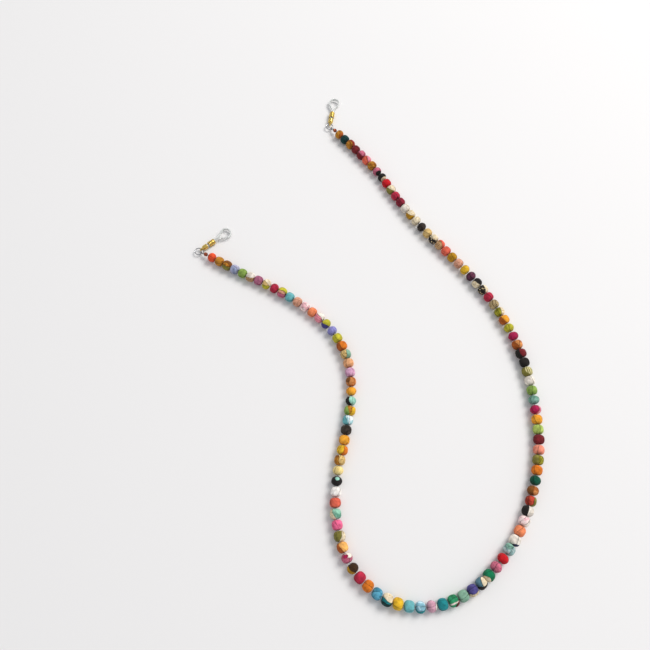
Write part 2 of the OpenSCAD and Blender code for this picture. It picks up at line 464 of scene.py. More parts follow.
class Cotton(Enum):
    """The cottons in the scrap bag, each with its ground, its ink and its print."""

    RED = Cloth("#C21620", "#A50F18")
    BRICK = Cloth("#AE3F2C", "#8A2A1C", Print.BATIK)
    CRIMSON = Cloth("#AF2740", "#8C1A2F")
    WINE = Cloth("#8A2034", "#6A1626", Print.BATIK)
    MAROON = Cloth("#762026", "#571519")
    PLUM = Cloth("#633247", "#472233", Print.BATIK)
    CORAL = Cloth("#D8624C", "#C04A34")
    VERMILION = Cloth("#E0532C", "#C43F1E")
    SALMON = Cloth("#E38A72", "#CF7058")
    MELON = Cloth("#E58559", "#CE6A40")
    HOT_PINK = Cloth("#E06289", "#C84870")
    MAGENTA = Cloth("#A51C4B", "#841238")
    ROSE = Cloth("#BC6278", "#9C4A62", Print.DOTS)
    PINK = Cloth("#DB8492", "#C26878")
    MAUVE = Cloth("#A8617C", "#8A4A63")
    DUSTY_PINK = Cloth("#C394A4", "#A87487")
    ORCHID = Cloth("#D3A0BC", "#BB82A2")
    SHELL_PINK = Cloth("#EBD2CE", "#DBA8AE", Print.BATIK)
    BLUSH = Cloth("#CB9278", "#AE7458", Print.DOTS)
    LAVENDER = Cloth("#A8A6BE", "#868EAA", Print.BATIK)
    PERIWINKLE = Cloth("#8A88C4", "#6C6AA4")
    PURPLE = Cloth("#4E4784", "#362F60")
    NAVY = Cloth("#2B2F4C", "#1C1F36")
    SLATE = Cloth("#527784", "#38545E")
    SKY = Cloth("#569EB8", "#3C7F98", Print.BATIK)
    ICE_BLUE = Cloth("#B4D3DE", "#7FB0C0", Print.BATIK)
    MIST = Cloth("#B0C2C0", "#84A5A2", Print.BATIK)
    WHITE_BLUE = Cloth("#DADFE0", "#9CC4C8", Print.BATIK)
    TURQUOISE = Cloth("#68ACB0", "#4A8E96")
    TEAL = Cloth("#1F858A", "#14666C")
    SEA_GREEN = Cloth("#7BA594", "#5C8676", Print.BATIK)
    DEEP_TEAL = Cloth("#153C3A", "#0C2624")
    BOTTLE = Cloth("#0C4D38", "#073426")
    EMERALD = Cloth("#0B7048", "#07523A")
    GREEN = Cloth("#2F9263", "#1D7048", Print.BATIK)
    JADE = Cloth("#86B8A0", "#5F967E", Print.BATIK)
    MINT = Cloth("#98CBB8", "#74AC9A")
    SAGE = Cloth("#7FA68F", "#648A74")
    LEAF = Cloth("#84A04C", "#678236")
    SPRING = Cloth("#A2B65A", "#869A40")
    LIME = Cloth("#B8B032", "#98921E")
    OLIVE_LIME = Cloth("#9A9428", "#757014", Print.BATIK)
    OLIVE = Cloth("#7F7836", "#5E5824")
    YELLOW = Cloth("#DBAF2A", "#C4941A")
    LEMON_CREAM = Cloth("#E9D290", "#D4B666")
    STRAW = Cloth("#CFAE70", "#B08C4A", Print.DOTS)
    MUSTARD = Cloth("#B58418", "#94680E")
    MARIGOLD = Cloth("#E39C2E", "#CC7E1A")
    APRICOT = Cloth("#EBAE60", "#D48E3E")
    PEACH = Cloth("#DDA274", "#C48454")
    ORANGE = Cloth("#D4741F", "#B85A12")
    PUMPKIN = Cloth("#C9834A", "#A85E26", Print.BATIK)
    RUST = Cloth("#A9561D", "#843E12")
    OCHRE = Cloth("#B57A26", "#8C5414", Print.BATIK)
    TAN = Cloth("#B8946A", "#96683E", Print.SPRIGS)
    BROWN = Cloth("#84501F", "#5C3412")
    BROWN_SPRIG = Cloth("#B29C72", "#5E4420", Print.SPRIGS)
    CREAM = Cloth("#DDCDAE", "#C2A87C", Print.DOTS)
    CREAM_STRIPE = Cloth("#D4C896", "#7C7834", Print.STRIPES)
    IVORY = Cloth("#E3DACE", "#CDBFAE")
    WHITE = Cloth("#E9E4DE", "#D8CFC8")
    BLACK = Cloth("#231F1D", "#141110")
    BLACK_DOT = Cloth("#26211E", "#C8B48A", Print.DOTS)
    CHARCOAL = Cloth("#3D342E", "#241D18", Print.BATIK)
    DARK_BROWN = Cloth("#3C2614", "#24150A")


@dataclass(frozen=True)
class CoatedCable:
    """Stranded steel under clear nylon: grey, with a soft gloss over the twist of the strands."""

    colour: str = "#A4A5A6"
    dark: str = "#6E6F71"

    def material(self) -> bpy.types.Material:
        """Makes the cable's material."""
        made, tree = new_material("nylon_coated_steel_cable")
        place = add(tree, "TexCoord").outputs["Object"]
        grime = add(tree, "TexNoise", {"Vector": place, "Scale": 0.5 / MM, "Detail": 3.0})
        colour = add(tree, "Mix", {0: grime.outputs["Fac"], 6: linear(self.colour),
                                   7: linear(self.dark)}, data_type="RGBA")
        finished(tree, {"Base Color": colour.outputs[2], "Metallic": 0.75, "Roughness": 0.34,
                        "Coat Weight": 0.5, "Coat Roughness": 0.15})
        return made


@dataclass(frozen=True)
class Metal:
    """A small bought metal fitting: cast, drawn or plated, with handling marks in the gloss.

    Fields:
        name: The metal and its finish.
        colour: The clean metal's colour.
        worn: The colour where it is dull or dark.
        roughness: How blurred its reflections are.
        worn_share: How much of the worn colour shows.
        grit_mm: The size of the marks.
    """

    name: str
    colour: str
    worn: str
    roughness: float
    worn_share: float
    grit_mm: float

    def material(self) -> bpy.types.Material:
        """Makes the metal's material."""
        made, tree = new_material(self.name)
        place = add(tree, "TexCoord").outputs["Object"]
        marks = add(tree, "TexNoise", {"Vector": place, "Scale": 1 / (self.grit_mm * MM),
                                       "Detail": 5.0, "Roughness": 0.6}).outputs["Fac"]
        dull = add(tree, "MapRange", {"Value": marks, "From Min": 0.4, "From Max": 0.75,
                                      "To Max": self.worn_share}).outputs[0]
        colour = add(tree, "Mix", {0: dull, 6: linear(self.colour), 7: linear(self.worn)},
                     data_type="RGBA")
        gloss = add(tree, "MapRange", {"Value": marks, "From Min": 0.3, "From Max": 0.7,
                                       "To Min": self.roughness * 0.8,
                                       "To Max": self.roughness * 1.3}).outputs[0]
        finished(tree, {"Base Color": colour.outputs[2], "Metallic": 1.0, "Roughness": gloss})
        return made


GOLD_PLATE = Metal("bright_gold_plate", "#EBCB72", "#A89440", 0.22, 0.6, 0.8)
BRIGHT_STEEL = Metal("polished_steel_wire", "#BDBDC0", "#8C8C90", 0.24, 0.5, 0.6)
ANTIQUE_COPPER = Metal("antique_copper", "#A5583E", "#4A2218", 0.42, 0.9, 0.5)


@dataclass(frozen=True)
class ClearSilicone:
    """Moulded clear silicone: milky in the light, soft-edged highlights, dust in its skin."""

    milk: str = "#F6F7F5"
    dust: str = "#E4E6E3"

    def material(self) -> bpy.types.Material:
        """Makes the silicone's material."""
        made, tree = new_material("moulded_clear_silicone")
        place = add(tree, "TexCoord").outputs["Object"]
        skin = add(tree, "TexNoise", {"Vector": place, "Scale": 1.2 / MM, "Detail": 4.0})
        cloud = add(tree, "MapRange", {"Value": skin.outputs["Fac"], "To Min": 0.28,
                                       "To Max": 0.42}).outputs[0]
        colour = add(tree, "Mix", {0: skin.outputs["Fac"], 6: linear(self.milk),
                                   7: linear(self.dust)}, data_type="RGBA")
        finished(tree, {"Base Color": colour.outputs[2], "Roughness": cloud, "IOR": 1.41,
                        "Transmission Weight": 0.4})
        return made


@dataclass(frozen=True)
class TurnedWood:
    """Turned, unfinished softwood: pale, with fine rings, seen only in the bores."""

    pale: str = "#C79E6B"
    dark: str = "#95683A"
    ring_mm: float = 0.9

    def material(self) -> bpy.types.Material:
        """Makes the wood's material."""
        made, tree = new_material("turned_softwood")
        place = add(tree, "TexCoord").outputs["Object"]
        rings = add(tree, "TexWave", {"Vector": place, "Scale": WAVE_REPEAT / (self.ring_mm * MM),
                                      "Distortion": 2.0, "Detail": 3.0}, wave_type="RINGS")
        colour = add(tree, "Mix", {0: rings.outputs["Fac"], 6: linear(self.pale),
                                   7: linear(self.dark)}, data_type="RGBA")
        bump = add(tree, "Bump", {"Height": rings.outputs["Fac"], "Strength": 0.3,
                                  "Distance": 0.03 * MM})
        finished(tree, {"Base Color": colour.outputs[2], "Roughness": 0.7, "IOR": 1.5,
                        "Normal": bump.outputs[0]})
        return made


# --------------------------------------------------------------------------- strand


class Route:
    """The wire's line seen from above, with distances measured along it."""

    steps = 12
    feel = 0.5 * MM

    def __init__(self, knots: Sequence[tuple[float, float]], length: float) -> None:
        """Draws the smooth curve through the knots and scales it to the strand's length.

        Args:
            knots: The points that the wire passes.
            length: The strand's length.
        """
        spans = len(knots) - 1
        knot = [np.array(knots[max(0, min(spans, i))]) for i in range(-1, spans + 2)]
        curve = []
        for i in range(spans):
            a, b = knot[i + 1], knot[i + 2]
            leave = (b - knot[i]) / (1 if i == 0 else 2)
            arrive = (knot[i + 3] - a) / (1 if i == spans - 1 else 2)
            for k in range(self.steps):
                t = k / self.steps
                curve.append((2 * t**3 - 3 * t**2 + 1) * a + (t**3 - 2 * t**2 + t) * leave
                             + (3 * t**2 - 2 * t**3) * b + (t**3 - t**2) * arrive)
        curve = np.array([*curve, knot[spans + 1]])
        run = np.concatenate([[0.0], np.cumsum(np.linalg.norm(np.diff(curve, axis=0), axis=1))])
        fit = length / run[-1]
        self.length, self.run, self.curve = length, run * fit, curve * fit

    def on_curve(self, s: float) -> np.ndarray:
        """Returns the point at distance s, held between the two ends."""
        return np.array([np.interp(s, self.run, self.curve[:, k]) for k in (0, 1)])

    def heading(self, s: float) -> float:
        """Returns the direction of travel at distance s, in radians."""
        x, y = self.on_curve(s + self.feel) - self.on_curve(s - self.feel)
        return math.atan2(y, x)

    def at(self, s: float, height: float) -> np.ndarray:
        """Gives a point of the wire, straight on past either end.

        Args:
            s: The distance along the strand.
            height: The height above the table.

        Returns:
            The point.
        """
        held = min(max(s, 0.0), self.length)
        turn = self.heading(held)
        x, y = self.on_curve(held) + (s - held) * np.array([math.cos(turn), math.sin(turn)])
        return np.array([x, y, height])


@dataclass
class BeadingWire:
    """The stranded wire, in the lengths that move with each group of beads."""

    route: Route
    height: float
    tail: float = 1.85 * MM
    ring_step: float = 0.35 * MM
    lay: float = 3.2 * MM
    strands: int = 6
    valley: float = 0.03 * MM

    def section(self) -> np.ndarray:
        """Returns the cable's outline, with the strands showing through the coating."""
        return round_section(WIRE_DIAMETER / 2, 4 * self.strands, self.strands, self.valley)

    def cable(self, path: np.ndarray, up: Sequence[float]) -> Shell:
        """Returns a length of cable along a path, with its strands laid in a twist."""
        return sweep(path, self.section(), np.array(up), math.tau / self.lay)

    def build(self, finish: bpy.types.Material) -> int:
        """Makes one length of cable for each group of beads.

        Args:
            finish: The wire's material.

        Returns:
            How many lengths there are.
        """
        for group in range(1, GROUPS + 1):
            start = (group - 1) * GROUP_LENGTH - (self.tail if group == 1 else 0)
            end = group * GROUP_LENGTH + (self.tail if group == GROUPS else 0)
            stations = np.linspace(start, end, int((end - start) / self.ring_step))
            path = np.array([self.route.at(s, self.height) for s in stations])
            name = f"beading_wire_{group:02d}"
            made = make_piece(name, self.cable(path, (0, 0, 1)), [finish], f"strand_{group:02d}",
                              [f"wire_{group:02d}"])
        return GROUPS


class Lie(Enum):
    """Where a scrap shows over the main cloth, for someone who walks along the strand.

    Each value is the scrap's middle, as degrees from the seen side's middle towards the left
    and degrees forward, and its half size in degrees, across and along.
    """

    LEFT = (66, 0, 48, 70)
    RIGHT = (-66, 0, 48, 70)
    TOP = (6, 0, 9, 72)
    FORE = (0, 50, 64, 42)
    AFT = (0, -50, 64, 42)
    AFTEDGE = (0, -68, 64, 28)
    FORESPOT = (4, 40, 24, 20)
    FORELEFT = (44, 42, 42, 36)
    FORERIGHT = (-44, 42, 42, 36)
    AFTLEFT = (44, -42, 42, 36)
    AFTRIGHT = (-44, -42, 42, 36)


# The stringing chart, right end first: each bead's cotton, then the scraps glued over it
CHART = """
ochre+rust:fore deep_teal ochre+brick:left maroon rose+maroon:right coral+pink:left ochre
rose+black:fore black+cream:fore red cream+olive:right crimson wine ivory cream+mustard:right
cream charcoal straw cream+black_dot:right tan+coral:left coral mustard blush
yellow plum black+cream:right black_dot+cream:left crimson brown_sprig olive_lime+cream:left
marigold+rust:right lime magenta pumpkin+rust:right maroon+black:right black
cream_stripe+olive:right ivory leaf sea_green magenta+pink:left marigold spring maroon salmon
olive_lime+olive:right orange bottle pumpkin+brown:right brick+olive:left
ivory+black:right shell_pink+ivory:left melon ivory+navy:foreleft
mist+sea_green:aftright red rose emerald+cream:fore slate+cream:aft+black:left
purple+cream:left sage
green+ivory:top+maroon:aftleft teal dusty_pink+ivory:aftedge ice_blue+teal:left turquoise yellow
teal+cream:right+deep_teal:left sky orange crimson dark_brown+mustard:left
rose+ivory:foreright+magenta:forespot apricot+rust:left olive+cream:right hot_pink
jade+cream:left coral white black+mint:forespot lemon_cream straw+ochre:left
yellow+orange:right marigold charcoal
white_blue+turquoise:left ochre+leaf:left+yellow:right mint+black:left marigold
pumpkin+brown:foreleft orchid peach straw+sage:right orange+rust:left lime periwinkle
lime+purple:left pink+ivory:right melon shell_pink blush turquoise blush+rose:left+lime:right
crimson straw+lime:left+cream:right mauve ivory+tan:left leaf lavender
ochre+olive:left+brown:right ochre vermilion
"""


@dataclass(frozen=True)
class Dress:
    """What one bead wears: its main cotton and the scraps over it."""

    main: Cotton
    scraps: tuple[tuple[Cotton, Lie], ...]

    @classmethod
    def read(cls, entry: str) -> "Dress":
        """Reads one entry of the stringing chart."""
        main, *rest = entry.upper().split("+")
        pairs = [scrap.split(":") for scrap in rest]
        return cls(Cotton[main], tuple((Cotton[name], Lie[lie]) for name, lie in pairs))


@dataclass
class BeadForm:
    """The surface of one wrapped bead, which is never quite round.

    The bead's own x runs along the wire, y to the left and z up.

    Fields:
        radius: The bead's greatest radius.
        half_length: Half its length.
        draw: The source of its small differences.
        squareness: 2 is an ellipse, and more is boxier.
        bore: The radius of the hole that the cloth is tucked into.
        lump: How far its lumps stand out.
        lumps: How many waves make the lumps.
        waviness: How many radians of such a wave go over one radius, about.
        pleat: How deep the gathers beside the hole are.
        pleat_start: The share of the way to the hole where the gathers start.
    """

    radius: float
    half_length: float
    draw: random.Random
    squareness: float
    bore: float = 0.8 * MM
    lump: float = 0.1 * MM
    lumps: int = 6
    waviness: float = 2.6
    pleat: float = 0.09 * MM
    pleat_start: float = 0.55

    def __post_init__(self) -> None:
        """Draws the bead's lumps and gathers."""
        self.waves = np.array([[self.draw.gauss(0, self.waviness) for _ in range(3)]
                               for _ in range(self.lumps)])
        self.phases = np.array([self.draw.uniform(0, math.tau) for _ in range(self.lumps)])
        self.gathers = self.draw.randint(7, 10)
        self.lip = math.acos(self.bore / self.half_length)

    def surface(self, turn: np.ndarray, forward: np.ndarray,
                lift: np.ndarray | float) -> np.ndarray:
        """Gives points of the bead's surface.

        Args:
            turn: The angle from the top towards the left.
            forward: The angle forward from the bead's middle.
            lift: How far the point stands off the base cloth.

        Returns:
            The points.
        """
        forward = np.clip(forward, -self.lip, self.lip)
        way = np.stack([np.sin(forward), np.cos(forward) * np.sin(turn),
                        np.cos(forward) * np.cos(turn)], axis=-1)
        n = self.squareness
        reach = ((np.cos(forward) / self.radius) ** n
                 + (np.abs(np.sin(forward)) / self.half_length) ** n) ** (-1 / n)
        lumps = np.sin(way @ self.waves.T + self.phases).mean(axis=-1) * self.lump
        near_hole = np.clip((np.abs(forward) / self.lip - self.pleat_start)
                            / (1 - self.pleat_start), 0, 1) ** 2
        gathered = np.cos(turn * self.gathers + self.phases[0]) * near_hole * self.pleat
        return way * (reach - self.lump + lumps + gathered - near_hole * self.pleat
                      + lift)[..., None]


@dataclass
class WrappedBead:
    """One wooden bead in its cotton: overlapping strips all round, and the scraps over them.

    Fields:
        number: The bead's number, from the right end.
        dress: What it wears.
        route: The route of the wire.
        cad_radius: The radius of the bead in CAD.
        sizes: The least and the greatest size, as shares of the radius in CAD.
        lengths: The same for its length.
        half_length: Half the length of the longest bead.
        flex_half_length: The same beside a flex point.
        squareness: How boxy it is.
        flex_squareness: The same beside a flex point.
        greatest_yaw: How far it may sit askew on the wire, in radians.
        cover: The share of its part of the circle that a strip covers.
        lap_run: The share of a strip over which its raised edge runs out.
        inset: How far the cloth's inside is from its outside.
        bury: How far a scrap's closed foot goes under the base cloth.
        edge_waves: How many waves a scrap's cut edge has, and how high they are.
        shear: How far a scrap's sides bend.
        least_cosine: Holds a scrap's sides together beside the hole.
        lift_under: How many cloths thick the strips under a scrap are, with their lap.
        lift_layer: How many more each scrap adds.
        bolt_mm: The length of the bolt of cloth that each strip is cut from.
        apart: How far apart the patterns of two beads are.
        scrap_apart: How far a scrap's pattern is from those of the strips.
        lean_deg: How far the seen side leans from the top towards -Y.
    """

    number: int
    dress: Dress
    route: Route
    cad_radius: float
    sizes: tuple[float, float] = (0.965, 1.035)
    lengths: tuple[float, float] = (0.975, 1.0)
    half_length: float = 2.98 * MM
    flex_half_length: float = 2.88 * MM
    squareness: float = 2.55
    flex_squareness: float = 2.0
    greatest_yaw: float = 0.06
    strips: int = 3
    strip_columns: int = 20
    rows: int = 30
    inner_rows: int = 6
    cloth_thick: float = 0.09 * MM
    inset: float = 0.06 * MM
    bury: float = 0.05 * MM
    cover: float = 0.996
    lap_run: float = 0.6
    rings: int = 8
    ring_points: int = 44
    edge_waves: tuple[tuple[int, float], ...] = ((2, 0.07), (5, 0.05))
    shear: float = 0.12
    least_cosine: float = 0.45
    lift_under: float = 1.4
    lift_layer: float = 0.8
    bolt_mm: float = 9.0
    apart: float = 3.7
    scrap_apart: float = 40.0
    lean_deg: float = 22.0

    def __post_init__(self) -> None:
        """Draws how big this bead is and how it sits on the wire."""
        self.draw = random.Random(self.number * 7 + 3)
        size = self.draw.uniform(*self.sizes)
        # The two beads beside each flex point are the roundest, so that one can roll on the other
        flexes = self.number % BEADS_PER_GROUP in (0, 1)
        longest = self.flex_half_length if flexes else self.half_length
        self.form = BeadForm(self.cad_radius * size, longest * self.draw.uniform(*self.lengths),
                             self.draw, self.flex_squareness if flexes else self.squareness)
        self.yaw = 0.0 if flexes else self.draw.uniform(-self.greatest_yaw, self.greatest_yaw)
        self.rise = self.cad_radius * max(0.0, size - 1)

    def strip_shell(self) -> Shell:
        """Returns the base cloth: strips from hole to hole, each lapping the one before."""
        form, draw = self.form, self.draw
        skew = draw.uniform(-0.5, 0.5)
        start = draw.uniform(0, math.tau)
        width = math.tau / self.strips
        outer = np.linspace(-form.lip, form.lip, self.rows)
        forward = np.concatenate([outer, np.linspace(form.lip, -form.lip, self.inner_rows)])
        inside = np.concatenate([np.zeros(self.rows), np.full(self.inner_rows, self.inset)])
        inside[[0, self.rows - 1]] = self.inset / 2
        columns, cloth = [], []
        for strip in range(self.strips):
            shift = draw.uniform(0, self.bolt_mm)
            for k in range(self.strip_columns):
                share = k / (self.strip_columns - 1)
                turn = start + (strip + share * self.cover) * width + skew * np.sin(forward)
                raised = self.cloth_thick * max(0.0, 1 - share / self.lap_run)
                columns.append(form.surface(turn, forward, raised - inside))
                across = np.full_like(forward, share * width * form.radius / MM)
                hem = min(share, 1 - share) * width * np.cos(forward) * form.radius / MM
                cloth.append(np.stack([across + shift, forward * form.radius / MM,
                                       np.full_like(forward, self.number * self.apart + strip),
                                       hem], -1))
        points = np.array(columns)
        faces = grid_faces(points.shape[0], points.shape[1], True, True)
        return Shell(points.reshape(-1, 3), faces, np.array(cloth).reshape(-1, 4),
                     [0] * len(faces))

    def scrap_shell(self, lie: Lie, layer: int) -> Shell:
        """Makes one scrap glued over the base cloth.

        Args:
            lie: Where it lies.
            layer: 1 for the first scrap, 2 for the one over it.

        Returns:
            Its surface, closed under the base cloth.
        """
        draw = self.draw
        aside, ahead, half_across, half_along = (math.radians(v) for v in lie.value)
        # The seen side leans from the top towards -Y
        way = self.route.heading((self.number - 0.5) * PITCH)
        aside -= math.radians(self.lean_deg) * math.cos(way)
        ahead -= math.radians(self.lean_deg) * math.sin(way)
        wobble = [draw.uniform(0, math.tau) for _ in self.edge_waves]
        spin = draw.uniform(0, math.tau)
        turn_of_weave = draw.uniform(0, math.pi)
        round_it = np.arange(self.ring_points) * math.tau / self.ring_points
        edge = 1 + sum(high * np.sin(count * round_it + phase)
                       for (count, high), phase in zip(self.edge_waves, wobble))
        share = np.linspace(0, 1, self.rings + 1)[1:, None]
        across = np.concatenate([[0.0], (share * edge * np.sin(round_it) * half_across).ravel()])
        along = np.concatenate([[0.0], (share * edge * np.cos(round_it) * half_along).ravel()])
        # A flat scrap laid on a ball: its sideways angles grow towards the holes
        forward = ahead + along
        turn = (aside + across / np.maximum(self.least_cosine, np.cos(forward))
                + self.shear * np.sin(along * 2 + spin))
        lift = (self.lift_under + layer * self.lift_layer) * self.cloth_thick
        top = self.form.surface(turn, forward, lift)
        foot = self.form.surface(turn, forward, -self.bury)
        count = len(top)
        u, v = across * self.form.radius / MM, along * self.form.radius / MM
        cosine, sine = math.cos(turn_of_weave), math.sin(turn_of_weave)
        inwards = np.concatenate([[1.0], np.repeat(1 - share[:, 0], self.ring_points)])
        hem = inwards * min(half_across, half_along) * self.form.radius / MM
        cloth = np.stack([u * cosine - v * sine, u * sine + v * cosine,
                          np.full_like(u, self.number * self.apart + self.scrap_apart + layer),
                          hem], -1)
        faces = []
        for base, flip in ((0, 1), (count, -1)):
            for m in range(self.ring_points):
                n = (m + 1) % self.ring_points
                faces.append((base, base + 1 + m, base + 1 + n)[::flip])
                for ring in range(self.rings - 1):
                    a = base + 1 + ring * self.ring_points
                    b = a + self.ring_points
                    faces.append((a + m, b + m, b + n, a + n)[::flip])
        rim = 1 + (self.rings - 1) * self.ring_points
        faces += [(rim + m, rim + count + m, rim + count + (m + 1) % self.ring_points,
                   rim + (m + 1) % self.ring_points) for m in range(self.ring_points)]
        return Shell(np.concatenate([top, foot]), faces, np.concatenate([cloth, cloth]),
                     [layer] * len(faces))

    def build(self, finishes: dict[Cotton, bpy.types.Material]) -> bpy.types.Object:
        """Makes the bead's wrap as one piece.

        Args:
            finishes: The material of each cotton.

        Returns:
            The piece.
        """
        shells = [self.strip_shell()]
        shells += [self.scrap_shell(lie, i + 1) for i, (_, lie) in enumerate(self.dress.scraps)]
        s = (self.number - 0.5) * PITCH
        place = (Matrix.Translation(self.route.at(s, self.cad_radius + self.rise).tolist())
                 @ Matrix.Rotation(self.route.heading(s) + self.yaw, 4, "Z"))
        group = (self.number - 1) // BEADS_PER_GROUP + 1
        body, node = f"strand_{group:02d}", f"cloth_wraps_{group:02d}"
        if self.number in (1, BEADS):
            body = "right_end_bead" if self.number == 1 else "left_end_bead"
            node = body + "_wrap"
        worn = [self.dress.main, *[cotton for cotton, _ in self.dress.scraps]]
        return make_piece(f"cotton_wrap_{self.number:03d}", joined(shells).placed(place),
                          [finishes[c] for c in worn], body, [node])


# --------------------------------------------------------------------------- fittings


@dataclass
class EndFittings:
    """What is fixed to one end of the wire: crimp, wire eye, jump ring, end cap, loop and slider.

    Fields:
        side: right or left.
        end_place: The frame at the end of the strand, with x outwards along the wire.
        ring_centre: The centre of the jump ring.
        hole: The centre of the hole in the end cap's tab.
        wire: The beading wire, which the eye is bent from.
        height: The height of the wire above the table.
    """

    side: str
    end_place: Matrix
    ring_centre: Vector
    hole: Vector
    wire: BeadingWire
    height: float

    crimp_start: float = 0.8 * MM
    crimp_length: float = 2.2 * MM
    crimp_radius: float = 1.2 * MM
    crimp_bore: float = 0.64 * MM
    crimp_wall: float = 0.22 * MM
    crimp_least_wall: float = 0.1 * MM
    # Under 1, the crimp's barrel is fuller than a round bow
    crimp_curve: float = 0.45
    crimp_steps: int = 17
    # How deep the crimp's dent is, how far it spreads, and how much wider the tube gets beside it
    dent_depth: float = 0.26
    dent_run: float = 0.3
    dent_angle: float = 0.55
    dent_spread: float = 0.12
    pair: float = 0.32 * MM
    eye_reach: float = 2.6 * MM
    eye_radius: float = 0.85 * MM
    eye_tail: float = 1.2 * MM
    clear: float = 0.2 * MM
    ring_wire: float = 0.7 * MM
    ring_gap_deg: float = 2.4
    ring_gap_at_deg: float = 140.0
    ring_sprung: float = 0.06 * MM
    ring_steps: int = 110
    cap_length: float = 3.2 * MM
    cap_radius: float = 1.7 * MM
    cap_wall: float = 0.3 * MM
    cap_bevel: float = 0.22 * MM
    cap_groove: float = 0.1 * MM
    # The barrel's end walls close in to this radius
    cap_core: float = 0.25 * MM
    tab_radius: float = 1.15 * MM
    tab_hole: float = 0.65 * MM
    tab_thick: float = 0.8 * MM
    tab_edge: float = 0.1 * MM
    band_width: float = 2.0 * MM
    band_thick: float = 0.8 * MM
    band_corner: float = 0.22 * MM
    band_y: float = 0.5 * MM
    # The band's line is cut into even steps, and its corners are rounded by averaging
    band_steps: int = 230
    band_rounds: int = 40
    eye_inner: float = 3.2 * MM
    neck_length: float = 6.0 * MM
    slider_gap: float = 1.0 * MM
    slider_length: float = 5.0 * MM
    slider_travel: float = 3.0 * MM
    slider_wire: float = 0.45 * MM
    slider_radius: float = 1.895 * MM
    slider_turn_steps: int = 30
    sides: int = 64

    def __post_init__(self) -> None:
        """Works out the frame of the loop and the places along it."""
        way = self.hole - self.ring_centre
        self.ring_radius = way.length
        turn = Matrix.Rotation(math.atan2(way.y, way.x), 4, "Z")
        self.loop_place = Matrix.Translation(self.ring_centre) @ turn
        self.low = self.ring_centre.z
        self.cap_start = self.ring_radius + self.tab_radius + self.clear
        self.cap_end = self.cap_start + self.cap_length
        self.slider_start = self.cap_end + self.slider_gap
        self.neck = self.slider_start + self.slider_length + self.slider_travel + self.clear
        self.eye = self.neck + self.neck_length

    def piece(self, name: str, shell: Shell, place: Matrix, finish: bpy.types.Material, body: str,
              sharp_deg: float = 40.0) -> bpy.types.Object:
        """Makes one fitting at this end from a shell in its own frame.

        Args:
            name: The fitting's name, which is also its CAD node's, without the side.
            shell: Its surface.
            place: The frame that the surface is in.
            finish: Its material.
            body: The CAD body that it rides on, without the side where it has one.
            sharp_deg: The angle from which an edge stays sharp.

        Returns:
            The piece.
        """
        node = f"{self.side}_{name}"
        return make_piece(f"{node}_detail", shell.placed(place), [finish], body, [node],
                          sharp_deg)

    def crimp(self, finish: bpy.types.Material, body: str) -> None:
        """Makes the crimp: a short tube with a fold pressed into its middle."""
        start, end = self.crimp_start, self.crimp_start + self.crimp_length
        rim = self.crimp_bore + self.crimp_wall
        middle = (start + end) / 2
        outer = [(start + share * self.crimp_length,
                  rim + (self.crimp_radius - rim) * math.sin(math.pi * share) ** self.crimp_curve)
                 for share in np.linspace(0, 1, self.crimp_steps)]
        profile = [(start, self.crimp_bore), *outer, (end, self.crimp_bore)]

        def pressed(x: float, radius: float, angle: float) -> float:
            """Flattens the middle of the tube and folds a dent along its top."""
            if radius <= self.crimp_bore * 1.001:
                return radius
            near = math.exp(-((x - middle) / (self.dent_run * self.crimp_length)) ** 2)
            dent = math.exp(-(math.remainder(angle, math.tau) / self.dent_angle) ** 2)
            wide = self.dent_spread * math.cos(2 * angle + math.pi)
            return max(self.crimp_bore + self.crimp_least_wall,
                       radius * (1 + near * (wide - self.dent_depth * dent)))

        place = self.end_place @ Matrix.Translation((0, 0, self.height))
        self.piece("crimp", lathe(profile, 56, pressed), place, finish, body)

    def wire_eye(self, finish: bpy.types.Material, body: str) -> None:
        """Makes the wire's eye: out of the crimp, round the jump ring and back in."""
        mouth = self.crimp_start + self.crimp_length + self.clear
        centre = np.array([self.crimp_start + self.crimp_length + self.eye_reach, self.low])
        top = np.array([mouth, self.height + self.pair])
        foot = np.array([mouth, self.height - self.pair])

        def touch(point: np.ndarray, sign: int) -> float:
            """Returns the angle where a straight wire from point meets the eye."""
            x, z = point - centre
            return math.atan2(z, x) - sign * math.acos(self.eye_radius / math.hypot(x, z))

        first, last = touch(top, 1), touch(foot, -1) - math.tau
        arc = [centre + self.eye_radius * np.array([math.cos(a), math.sin(a)])
               for a in np.linspace(first, last, 40)]
        inside = np.array([-self.eye_tail, 0.0])
        lines = [np.linspace(top + inside, top, 5)[:-1], np.linspace(top, arc[0], 9)[:-1], arc,
                 np.linspace(arc[-1], foot, 9)[1:], np.linspace(foot, foot + inside, 5)[1:]]
        flat = np.concatenate(lines)
        path = np.stack([flat[:, 0], np.zeros(len(flat)), flat[:, 1]], axis=1)
        self.piece("wire_eyelet", self.wire.cable(path, (0, 1, 0)), self.end_place, finish, body)

    def jump_ring(self, finish: bpy.types.Material) -> None:
        """Makes the jump ring, with its ends sprung a little apart."""
        gap = math.radians(self.ring_gap_deg / 2)
        angle = (np.linspace(gap, math.tau - gap, self.ring_steps)
                 + math.radians(self.ring_gap_at_deg))
        part = np.linspace(-1, 1, self.ring_steps)
        path = np.stack([self.ring_radius * np.cos(angle), self.ring_radius * np.sin(angle),
                         part * np.abs(part) * self.ring_sprung], axis=1)
        shell = sweep(path, round_section(self.ring_wire / 2, 20), np.array([0, 0, 1.0]))
        self.piece("jump_ring", shell, self.loop_place, finish, f"{self.side}_ring")

